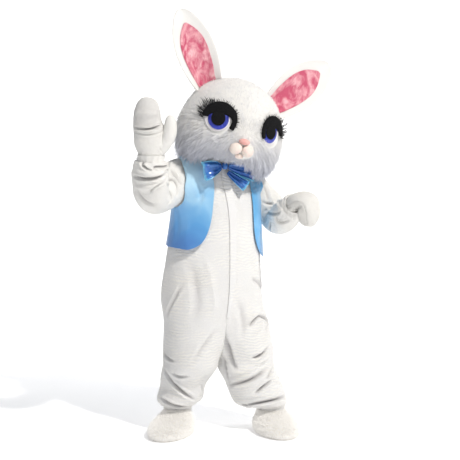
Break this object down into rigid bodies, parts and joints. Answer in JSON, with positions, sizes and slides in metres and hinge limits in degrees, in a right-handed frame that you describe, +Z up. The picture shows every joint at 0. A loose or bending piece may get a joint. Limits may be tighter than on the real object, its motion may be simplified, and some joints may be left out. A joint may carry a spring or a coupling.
{
  "type": "rabbit mascot costume",
  "caption": "Worn rabbit mascot costume: white plush suit with mittens and feet, furred head with long pink-lined ears, blue satin vest and bow tie.",
  "frame": {"origin": "the middle of the wearer's shoulders, inside the suit's neck, where the costume is held up", "axes": "+Z up, -Y the way the suit's front faces, +X the wearer's left"},
  "size_m": [1.1006, 0.599, 2.0977],
  "materials": {
    "plush": "white plush with a short soft pile, matt",
    "satin": "blue satin, glossy",
    "bow_satin": "deep blue satin, glossy",
    "lining": "pink crushed velvet",
    "eye_white": "pale, smooth",
    "iris": "deep blue, glossy",
    "black": "black, smooth",
    "nose": "pink short pile",
    "muzzle": "cream short pile"
  },
  "bodies": {
    "root": {"bow_band": "bow_satin", "bow_knot": "bow_satin", "bow_loop_left": "bow_satin", "bow_loop_right": "bow_satin", "bow_tail": "bow_satin", "ear_left": "plush", "ear_lining_left": "lining", "ear_lining_right": "lining", "ear_right": "plush", "eye_white_left": "eye_white", "eye_white_right": "eye_white", "eyelid_left": "black", "eyelid_right": "black", "foot_sole_left": "plush", "foot_sole_right": "plush", "foot_upper_left": "plush", "foot_upper_right": "plush", "head_back": "plush", "head_front": "plush", "iris_left": "iris", "iris_right": "iris", "lip": "muzzle", "mitten_back_left": "plush", "mitten_back_right": "plush", "mitten_palm_left": "plush", "mitten_palm_right": "plush", "muzzle_pad_left": "muzzle", "muzzle_pad_right": "muzzle", "nose": "nose", "placket": "plush", "pupil_left": "black", "pupil_right": "black", "sleeve_left": "plush", "sleeve_right": "plush", "suit_back_left": "plush", "suit_back_right": "plush", "suit_front_left": "plush", "suit_front_right": "plush", "thumb_left": "plush", "thumb_right": "plush", "vest_back": "satin", "vest_front_left": "satin", "vest_front_right": "satin"}
  },
  "joints": []
}
